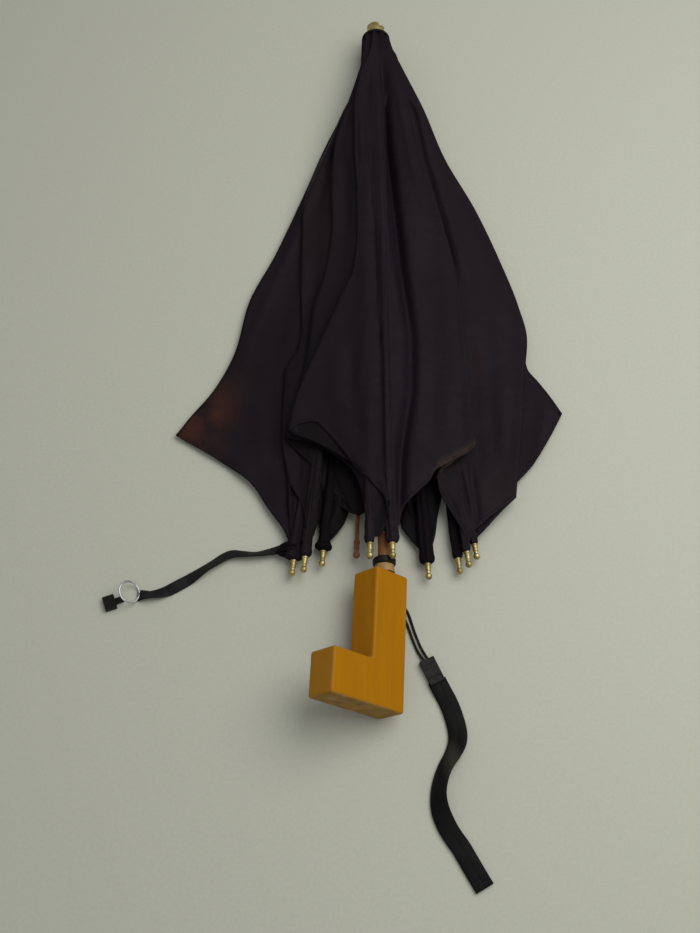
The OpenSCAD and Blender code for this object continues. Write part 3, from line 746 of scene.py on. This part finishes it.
# leaves in order round the umbrella: rib, panel, rib
PANELS = [(5, "54", 4), (4, "42", 2), (2, "21", 1), (1, "13", 3), (3, "310", 10), (10, "106", 6), (6, "67", 7), (7, "79", 9),
          (9, "98", 8), (8, "85", 5)]
COLS = {"54a": 34, "54b": 10, "42a": 18, "42b": 10, "21a": 18, "21b": 8, "13a": 26, "13b": 8, "310a": 8, "310b": 6,
        "106a": 6, "106b": 8, "67a": 8, "67b": 8, "79a": 8, "79b": 14, "98a": 8, "98b": 28, "85a": 14, "85b": 38}
SEAMS = {i: seam(i) for i in RIB}
EDGES = {k: fold_line(k) for k in FOLDS}


def leaf(rib, key, name):
    """Half a panel as rows from the top to the hem and columns from the seam to the fold."""
    R, M = SEAMS[rib], EDGES[key]
    n = COLS[name]
    t = np.linspace(0, 1, n + 1)
    u = 0.45 * t + 0.55 * (0.5 - 0.5 * np.cos(math.pi * t))
    base = R[:, None, :] * (1 - u)[None, :, None] + M[:, None, :] * u[None, :, None]
    # height: steep by the rib, level by the fold
    hz = (0.5 + 0.5 * np.cos(math.pi * u)) * 0.55 + (1 - u) * 0.45
    z = M[:, None, 2] + (R[:, None, 2] - M[:, None, 2]) * hz[None, :]
    hem = np.array([R[-1, :2]] + [list(p) for p in HEMS[name]] + [M[-1, :2]])
    s = np.concatenate([[0], np.cumsum(np.linalg.norm(np.diff(hem, axis=0), axis=1))])
    s /= s[-1]
    hx, hy = pchip(s, hem[:, 0], u), pchip(s, hem[:, 1], u)
    w = VV ** 2.6
    base[:, :, 0] += w[:, None] * (hx - base[-1, :, 0])[None, :]
    base[:, :, 1] += w[:, None] * (hy - base[-1, :, 1])[None, :]
    base[:, :, 2] = z
    return base


LEAVES = {}
for a, key, b in PANELS:
    LEAVES[key + "a"] = leaf(a, key, key + "a")
    LEAVES[key + "b"] = leaf(b, key, key + "b")


def line_distance(P, line):
    """Distance from points P (n, 2) to a polyline, and how far along it the nearest point is, 0 to 1."""
    line = np.array(line, float)
    seg = np.diff(line, axis=0)
    ln = np.linalg.norm(seg, axis=1)
    cum = np.concatenate([[0], np.cumsum(ln)])
    best = np.full(len(P), 1e9)
    along = np.zeros(len(P))
    sgn = np.zeros(len(P))
    for i in range(len(seg)):
        d = P - line[i]
        t = np.clip((d @ seg[i]) / ln[i] ** 2, 0, 1)
        q = d - t[:, None] * seg[i]
        r = np.linalg.norm(q, axis=1)
        hit = r < best
        best[hit] = r[hit]
        along[hit] = (cum[i] + t[hit] * ln[i]) / cum[-1]
        sgn[hit] = np.sign(seg[i][0] * d[hit][:, 1] - seg[i][1] * d[hit][:, 0])
    return best, along, sgn


# Creases that show: leaf names, line, depth (below 0 is a raised fold), half width, softness of its ends
CREASES = [
    (("85b",), [(4, 585), (5.5, 540), (7, 470), (10.5, 425), (13, 391), (16.5, 340), (22.5, 283), (21, 235), (13, 187), (9.5, 128)], 7.0, 4.2, 0.05),
    (("85b",), [(5, 520), (7, 470), (10, 420), (14, 360), (19, 310)], 4.5, 7.0, 0.3),
    (("85b",), [(34, 330), (40, 260), (33, 200), (26, 165)], 1.6, 9.0, 0.3),
    (("85b",), [(47, 380), (52, 300), (50, 230), (46, 185)], -1.2, 8.0, 0.3),
    (("85b",), [(14, 560), (20, 505), (27, 450), (38, 390)], -2.0, 4.0, 0.3),
    (("54a",), [(-4.5, 301), (-2, 235), (1.8, 172), (2.2, 128)], 5.0, 2.8, 0.12),
    (("54a",), [(-6, 400), (-5, 350), (-4.5, 300)], 2.0, 4.0, 0.3),
    (("54a",), [(-6, 560), (-8.5, 520), (-10.5, 470), (-9, 430)], 3.0, 2.6, 0.25),
    (("54a",), [(-13, 500), (-13, 465), (-9, 430)], -1.8, 3.0, 0.3),
    (("54a",), [(-30, 285), (-33, 250), (-36, 215)], -1.6, 8.0, 0.3),
    (("54a",), [(-14, 330), (-18, 260), (-18, 200)], 1.2, 8.0, 0.3),
    (("54a",), [(-45, 275), (-54, 250), (-56, 225), (-57, 210)], 1.6, 4.0, 0.3),
    (("13a",), [(-72, 400), (-80, 330), (-88, 270), (-84, 220), (-78, 180)], 2.0, 6.0, 0.25),
    (("13a",), [(-104, 300), (-103, 270), (-98, 220), (-92, 172)], 1.8, 5.0, 0.2),
    (("13a",), [(-95, 330), (-96, 280), (-91, 230), (-86, 185)], -1.4, 6.0, 0.25),
    (("13a",), [(-112, 240), (-122, 215), (-128, 205)], -1.0, 7.0, 0.3),
    (("21a",), [(-48, 430), (-51, 380), (-50, 330), (-46, 290)], 1.8, 5.0, 0.3),
    (("21a",), [(-56, 270), (-60, 230), (-57, 190), (-54, 150)], 1.4, 3.5, 0.3),
    (("42a",), [(-26, 470), (-27, 420), (-28, 370)], 3.5, 6.0, 0.35),
    (("98b",), [(20, 540), (28, 517), (32, 492), (36, 462), (41, 440), (48, 404), (55, 368), (61, 336)], 7.0, 2.8, 0.08),
    (("98b",), [(27, 540), (35, 517), (39, 492), (43, 462), (48, 440), (55, 404), (62, 368), (67, 342)], -2.8, 4.0, 0.15),
    (("98b",), [(60, 420), (76, 370), (88, 320), (93, 280)], -1.4, 10.0, 0.3),
    (("98b",), [(74, 330), (80, 270), (80, 210), (74, 160)], 1.4, 7.0, 0.3),
    (("98b",), [(88, 260), (90, 220), (86, 180)], -1.2, 6.0, 0.3),
    (("98b",), [(102, 262), (98, 217), (93, 180)], 1.2, 5.0, 0.3),
    (("85a",), [(43, 160), (50, 148), (56, 130)], 2.0, 2.0, 0.2),
    (("85a", "98b"), [(53.5, 182), (57.5, 160), (61.5, 139)], 3.2, 1.8, 0.15),
    (("98b",), [(63, 190), (65, 160), (66.6, 133)], 3.2, 2.0, 0.15),
    (("98b",), [(68, 300), (69.5, 240), (70, 192), (69, 165)], 4.5, 3.4, 0.3),
    (("79b",), [(120, 250), (121, 225), (117, 200), (110, 182)], -2.8, 5.0, 0.3),
    (("85b",), [(1.5, 555), (1.5, 500), (0, 440), (-1, 380)], 2.6, 2.2, 0.25),
    (("85a",), [(58, 180), (60, 160), (61, 135)], -1.2, 2.0, 0.2),
]


def displace(name, S):
    P = S[:, :, :2].reshape(-1, 2)
    dz = np.zeros(len(P))
    for names, line, depth, width, ends in CREASES:
        if name in names:
            d, along, _ = line_distance(P, [(x, station(y)) for x, y in line])
            fade = smoothstep(along / ends) * smoothstep((1 - along) / ends)
            dz -= depth * fade * np.exp(-(d / width) ** 2)
    # long soft waves that run down from the top, and small irregular ones
    amp = {"54a": 0.8, "85b": 0.9, "98b": 0.6, "13a": 0.9, "21a": 1.3, "42a": 1.2, "85a": 0.8, "79b": 0.6}.get(name, 0.35)
    seed = sum(ord(c) * (k + 3) for k, c in enumerate(name)) * 0.37
    u = np.tile(np.linspace(0, 1, S.shape[1]), S.shape[0])
    away = np.sqrt(np.clip((TOP_Y - P[:, 1]) / 300, 0, 1.6))
    for k, (x, y) in enumerate(P):
        phi = x / max(30.0, 640 - y)
        a = noise.noise(Vector((phi * 26 + seed, y * 0.006, seed)))
        b = noise.noise(Vector((x * 0.06 + seed, y * 0.028, seed * 0.5)))
        dz[k] += amp * away[k] * (1.25 * a + 0.75 * b)
    lock = smoothstep(u / 0.18) * (0.25 + 0.75 * smoothstep((1 - u) / 0.14))
    return (dz * lock).reshape(S.shape[:2])


# Heights are settled from the bottom up on a 1 mm grid, each layer lying on the ones below.
GX0, GY0, GNX, GNY = -170, 90, 320, 520
heights = np.full((GNX, GNY), 0.45)


STEEL = (["rib_%02d" % i for i in range(1, 11)] + ["stretcher_%02d" % i for i in range(1, 11)]
         + ["rib_clips", "runner", "runner_wire", "shaft", "bottom_catch", "top_catch", "stop_pin"])


def frame_heights():
    """Top of the umbrella's own frame over each cell of the grid."""
    verts, polys = [], []
    for nm in STEEL:
        me = NODES[nm].data
        base = len(verts)
        verts += [v.co[:] for v in me.vertices]
        polys += [[base + k for k in p.vertices] for p in me.polygons]
    tree = BVHTree.FromPolygons(verts, polys)
    g = np.zeros((GNX, GNY))
    down = Vector((0, 0, -1))
    for i in range(GNX):
        if not -90 < GX0 + i < 90:
            continue
        for j in range(GNY - 20):
            hit = tree.ray_cast(Vector(row((GX0 + i, GY0 + j, 60))), down, 0.0599)
            if hit[0] is not None:
                g[i, j] = hit[0].z * 1000
    for _ in range(2):
        q = g.copy()
        for dx, dy in ((1, 0), (-1, 0), (0, 1), (0, -1), (1, 1), (-1, -1), (1, -1), (-1, 1)):
            q = np.maximum(q, np.roll(np.roll(g, dx, 0), dy, 1))
        g = q
    return g


def blur(a, r):
    k = np.exp(-0.5 * (np.arange(-3 * r, 3 * r + 1) / r) ** 2)
    k /= k.sum()
    for axis in (0, 1):
        pad = [(0, 0), (0, 0)]
        pad[axis] = (3 * r, 3 * r)
        q = np.pad(a, pad, mode="edge")
        a = sum(w * np.take(q, range(i, i + a.shape[axis]), axis=axis) for i, w in enumerate(k))
    return a


def read_grid(g, x, y):
    fx, fy = np.clip(x - GX0, 0, GNX - 2), np.clip(y - GY0, 0, GNY - 2)
    i, j = fx.astype(int), fy.astype(int)
    a, b = fx - i, fy - j
    return (g[i, j] * (1 - a) * (1 - b) + g[i + 1, j] * a * (1 - b) + g[i, j + 1] * (1 - a) * b + g[i + 1, j + 1] * a * b)


def write_grid(g, S):
    """Marks the grid with the highest cloth over each cell."""
    steps = max(6, int(np.abs(np.diff(S[:, :, 0], axis=1)).max() / 0.5), int(np.abs(np.diff(S[:, :, 1], axis=1)).max() / 0.5))
    for f in range(8):
        for h in range(steps):
            a, b = f / 8, h / steps
            q = (S[:-1, :-1] * (1 - a) * (1 - b) + S[1:, :-1] * a * (1 - b) + S[:-1, 1:] * (1 - a) * b + S[1:, 1:] * a * b)
            i = np.clip(np.round(q[..., 0] - GX0).astype(int), 0, GNX - 1)
            j = np.clip(np.round(q[..., 1] - GY0).astype(int), 0, GNY - 1)
            np.maximum.at(g, (i.ravel(), j.ravel()), q[..., 2].ravel())


STACK = ["310b", "106a", "310a", "106b", "13b", "67a", "13a", "67b", "21b", "79a", "21a", "79b", "42b", "98a", "42a", "98b",
         "54b", "85a", "54a", "85b"]
GAP = 0.55
steel = frame_heights()
steel = np.maximum(blur(steel, 2), steel)
OVER_FRAME = {"13a": 0.3, "21b": 0.0, "21a": 0.7, "42b": 0.7, "42a": 0.7, "98b": 0.7, "54b": 0.9, "85a": 0.9, "54a": 1.6, "85b": 1.6}
for name in STACK:
    S = LEAVES[name]
    n = S.shape[1]
    u = np.linspace(0, 1, n)
    S[:, :, 2] += displace(name, S) * smoothstep((575 - S[:, :, 1]) / 60)
    x, y = S[:, :, 0], S[:, :, 1]
    wide = heights
    for dx, dy in ((1, 0), (-1, 0), (0, 1), (0, -1)):
        wide = np.maximum(wide, np.roll(np.roll(heights, dx, 0), dy, 1))
    soft = read_grid(np.maximum(blur(wide, 2), wide), x, y)
    need = soft + GAP
    if OVER_FRAME.get(name):
        need = np.maximum(need, read_grid(steel, x, y) + OVER_FRAME[name])
    lift = np.maximum(0, need - S[:, :, 2])
    gate = smoothstep((548 - y) / 45) * smoothstep(u / 0.10)[None, :]
    S[:, :, 2] += lift * gate
    S[:, :, 2] = np.maximum(S[:, :, 2], 0.45)
    marks = S.copy()
    marks[marks[:, :, 1] > 552] = [GX0 + 1, GY0 + 1, 0.3]
    write_grid(heights, marks)

# the two leaves of a panel share their folded edge
for _, key, _b in PANELS:
    a, b = LEAVES[key + "a"], LEAVES[key + "b"]
    mid = 0.5 * (a[:, -1] + b[:, -1])
    top = np.maximum(a[:, -1, 2], b[:, -1, 2])
    mid[:, 2] = 0.5 * (mid[:, 2] + top)
    a[:, -1] = mid
    b[:, -1] = mid

columns, names = [], []
for a, key, b in PANELS:
    A, B = LEAVES[key + "a"], LEAVES[key + "b"]
    for k in range(A.shape[1] - 1):
        columns.append(A[:, k])
        names.append((key + "a", k))
    for k in range(B.shape[1] - 1, 0, -1):
        columns.append(B[:, k])
        names.append((key + "b", k))
grid = np.stack(columns, 1)                      # rows, columns, xyz
NC = grid.shape[1]


def canopy_mesh():
    verts = grid.reshape(-1, 3)
    faces = []
    for r in range(ROWS):
        for c in range(NC):
            d = (c + 1) % NC
            faces.append((r * NC + c, r * NC + d, (r + 1) * NC + d, (r + 1) * NC + c))
    return mesh_object("canopy_cloth", verts, faces)


canopy = canopy_mesh()
# painted shade: how much each leaf's colour is darkened, most for the leaves that lie under the others
LEAF_SHADE = {"54b": 0.85, "42b": 0.85, "21b": 0.7, "13b": 0.9, "310a": 0.9, "310b": 0.9, "106a": 1.0, "106b": 1.0, "67a": 1.0,
         "67b": 0.9, "79a": 0.6, "79b": 0.0, "98a": 0.5, "85a": 0.35}
inside = np.array([LEAF_SHADE.get(nm, 0.0) for nm, _k in names])
inside = 0.25 * np.roll(inside, 1) + 0.5 * inside + 0.25 * np.roll(inside, -1)
at = canopy.data.attributes.new("inside", "FLOAT", "POINT")
at.data.foreach_set("value", np.tile(inside, ROWS + 1).astype(np.float32))
# the worn stretch of hem by the eighth rib, brown for a few millimetres in from its edge
browned = np.zeros((ROWS + 1, NC))
for c, (nm, _k) in enumerate(names):
    if nm in ("85b", "85a"):
        w = float(smoothstep((grid[-1, c, 0] - 36) / 5) * smoothstep((70 - grid[-1, c, 0]) / 6))
        if nm == "85a":
            w *= float(smoothstep((grid[-1, c, 1] - 160) / 12))
        browned[-1, c], browned[-2, c], browned[-3, c] = w, 0.85 * w, 0.3 * w
at = canopy.data.attributes.new("browned", "FLOAT", "POINT")
at.data.foreach_set("value", browned.ravel().astype(np.float32))
sol = canopy.modifiers.new("thickness", "SOLIDIFY")
sol.thickness = 0.00035
sol.offset = 0.0
finish_piece(canopy, "cloth")
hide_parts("canopy")

# rolled and stitched hem along the cloth's lower edge
edge = grid[-1]
inner = grid[-3]
loop = np.vstack([edge, edge[:1]])
inl = np.vstack([inner, inner[:1]])
verts, faces = [], []
sec = [(-0.35, 0.0), (0.1, 0.42), (1.2, 0.46), (2.1, 0.34), (2.5, 0.0), (2.1, -0.34), (1.2, -0.46), (0.1, -0.42)]
tan = np.roll(edge, -1, axis=0) - np.roll(edge, 1, axis=0)
for k in range(NC):
    t = tan[k] / (np.linalg.norm(tan[k]) + 1e-9)
    inward = inner[k] - edge[k]
    inward -= t * (inward @ t)
    inward /= np.linalg.norm(inward) + 1e-9
    nrm = np.cross(t, inward)
    for a, b in sec:
        verts.append(edge[k] + inward * a + nrm * b)
ms = len(sec)
for k in range(NC):
    for j in range(ms):
        a, b = k * ms + j, k * ms + (j + 1) % ms
        c, d = ((k + 1) % NC) * ms + (j + 1) % ms, ((k + 1) % NC) * ms + j
        faces.append((a, b, c, d))
hem = mesh_object("canopy_hem", np.array(verts), faces)
# the hem gets the same painted shade as the leaves it edges
at = hem.data.attributes.new("inside", "FLOAT", "POINT")
at.data.foreach_set("value", np.repeat(inside, ms).astype(np.float32))
finish_piece(hem, "hem")


# Half width of the gathered cloth at the base of each tip, and how far up its rib it is still gathered.
GATHER = {1: (5.4, 75), 2: (3.9, 90), 3: (4.2, 95), 4: (3.6, 60), 5: (4.9, 55), 6: (5.4, 105), 7: (3.7, 95), 8: (3.2, 60), 9: (3.1, 55)}


def tip_knot(i):
    """Cloth gathered round the lower end of a rib and tied at its tip."""
    a, b, c, up_dir = rib_points(i)
    d = (b - c) / np.linalg.norm(b - c)
    side = np.cross(d, np.array([0, 0, 1.0]))
    side /= np.linalg.norm(side)
    lift = np.cross(side, d)
    w, reach = GATHER[i]
    knob = {1: 1.25, 3: 1.45, 2: 1.1}.get(i, 1.0)
    prof = [(11.4, 2.4, 2.4), (12.0, 0.80 * w, 2.7), (13.4, 0.95 * w * knob, 3.0 * knob), (15.5, w * knob, 3.3 * knob),
            (18.0, 0.92 * w * (0.5 + 0.5 * knob), 3.1), (22.0, 0.9 * w, 3.0), (28.0, 0.92 * w, 2.8), (0.5 * reach, 0.85 * w, 2.5),
            (0.8 * reach, 0.6 * w, 2.1), (reach, 1.9, 1.7)]
    rings = []
    m = 36
    al = np.arange(m) * 2 * math.pi / m
    for s, ra, rb in catmull([list(q) for q in prof], 70):
        fade = min(1.0, (s - 11.0) / 5)
        pleat = fade * (0.12 * np.cos(5 * al + 0.9 * i + 0.012 * s) + 0.07 * np.cos(9 * al + i * 2.1 - 0.02 * s))
        wob = 0.5 * noise.noise(Vector((s * 0.12, i * 3.1, 0)))
        ca = np.sign(np.cos(al)) * np.abs(np.cos(al)) ** 0.8
        rings.append(c + d * s + np.outer(ra * ca * (1 + 0.5 * pleat) + wob, side)
                     + np.outer(rb * np.sin(al) * (1 + pleat), lift))
    lowest = min(r[:, 2].min() for r in rings)
    if lowest < 0.4:
        for r in rings:
            r[:, 2] = np.maximum(r[:, 2], 0.4)
    o = skin_rings(f"tip_knot_{i:02d}", rings)
    # three tips get the darker copy of the cloth as painted shade
    finish_piece(o, "cloth_painted_shade" if i in (6, 7, 3) else "cloth")
    return o


def tie_bunch():
    """Lump of cloth at the first rib's tip, where the tie strap is sewn on."""
    bm = bmesh.new()
    bmesh.ops.create_icosphere(bm, subdivisions=5, radius=1.0)
    for v in bm.verts:
        p = v.co.copy()
        r = 1 + 0.16 * noise.noise(p * 1.7) + 0.10 * math.sin(9 * math.atan2(p.y, p.z) + 2 * p.x) * (1 - p.x * p.x) + 0.07 * noise.noise(p * 4.0)
        q = Vector((p.x * 8.0, p.y * 5.2, p.z * 4.6)) * r
        q.y += 0.25 * q.x
        v.co = Vector(row((-66.0 + q.x, 119.6 + q.y, max(0.4, 6.2 + q.z))))
    me = bpy.data.meshes.new("tie_bunch")
    bm.to_mesh(me)
    bm.free()
    me.polygons.foreach_set("use_smooth", [True] * len(me.polygons))
    o = link("tie_bunch", me)
    # the darker copy of the cloth, painted shade
    finish_piece(o, "cloth_painted_shade")
    return o


knots = [tip_knot(i) for i in range(1, 10)] + [tie_bunch()]

# ------------------------------------------------------------------ floor and light
floor_me = bpy.data.meshes.new("floor")
fb = bmesh.new()
bmesh.ops.create_grid(fb, x_segments=20, y_segments=20, size=4.0)
fb.to_mesh(floor_me)
fb.free()
floor = link("floor", floor_me)
fm, fnt, fbs = new_material("floor", Roughness=0.55, Specular_IOR_Level=0.3)
fn = Net(fnt)
speck = fn.noise(420, 3, 0.6)
cloud = fn.noise(3.0, 3, 0.5)
fc = fn.ramp(speck, [(0.30, (0.424, 0.430, 0.356)), (0.70, (0.458, 0.464, 0.386))])
fc = fn.mix(fn.span(cloud, 0.35, 0.65, 0.0, 0.25), fc, (0.435, 0.437, 0.365))
fn.link(fc, fbs.inputs["Base Color"])
floor.data.materials.append(fm)


def area_light(name, loc, target, size, power, colour=(1, 1, 1)):
    l = bpy.data.lights.new(name, "AREA")
    l.shape = "DISK"
    l.size = size
    l.energy = power
    l.color = colour
    o = bpy.data.objects.new(name, l)
    scene.collection.objects.link(o)
    o.location = loc
    o.rotation_euler = (Vector(target) - Vector(loc)).to_track_quat("-Z", "Y").to_euler()
    return o


area_light("key", (0.55, 0.11, 1.0), (0.10, -0.04, 0.0), 1.15, 10.7, (1.0, 0.995, 0.96))
area_light("fill", (0.3, -1.2, 1.3), (0.1, 0.0, 0.0), 1.8, 2.2, (0.97, 0.99, 1.0))
world = bpy.data.worlds.new("world")
scene.world = world
world.use_nodes = True
bg = world.node_tree.nodes["Background"]
bg.inputs["Color"].default_value = (0.95, 0.97, 1.0, 1)
bg.inputs["Strength"].default_value = 0.375
scene.view_settings.view_transform = "Standard"
scene.view_settings.look = "None"
